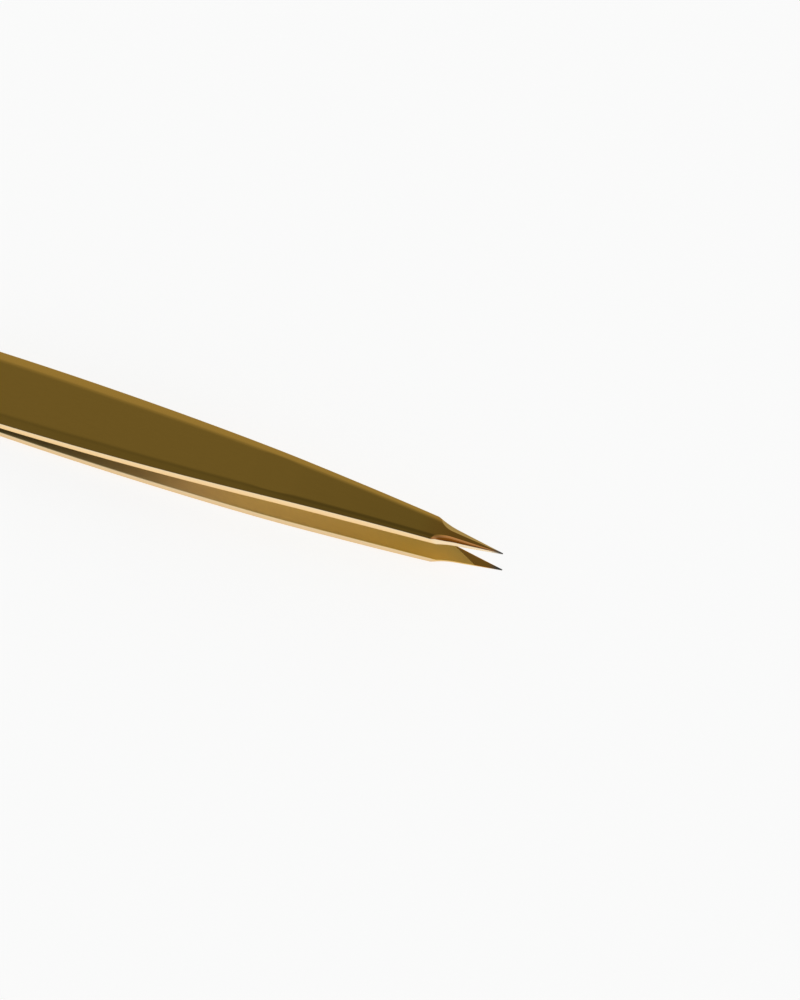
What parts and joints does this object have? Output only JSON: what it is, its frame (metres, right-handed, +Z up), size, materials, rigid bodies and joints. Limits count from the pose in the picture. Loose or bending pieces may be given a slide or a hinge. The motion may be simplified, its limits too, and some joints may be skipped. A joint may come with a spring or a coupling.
{
  "type": "pointed tweezers",
  "caption": "Gold-toned spring tweezers: bowed, bevelled arms welded face to face at the rounded tail and ground to needle points.",
  "frame": {"origin": "on the floor the tool lies on, under the middle of its bounding box", "axes": "+X along the tool towards the tips, +Y across its width, +Z up, across the opening between the arms"},
  "size_m": [0.0951, 0.009, 0.0085],
  "materials": {
    "gold_steel": "gold-coated spring steel, polished outside and satin on the inner faces"
  },
  "bodies": {
    "root": {"upper_arm": "gold_steel", "lower_arm": "gold_steel"}
  },
  "joints": []
}
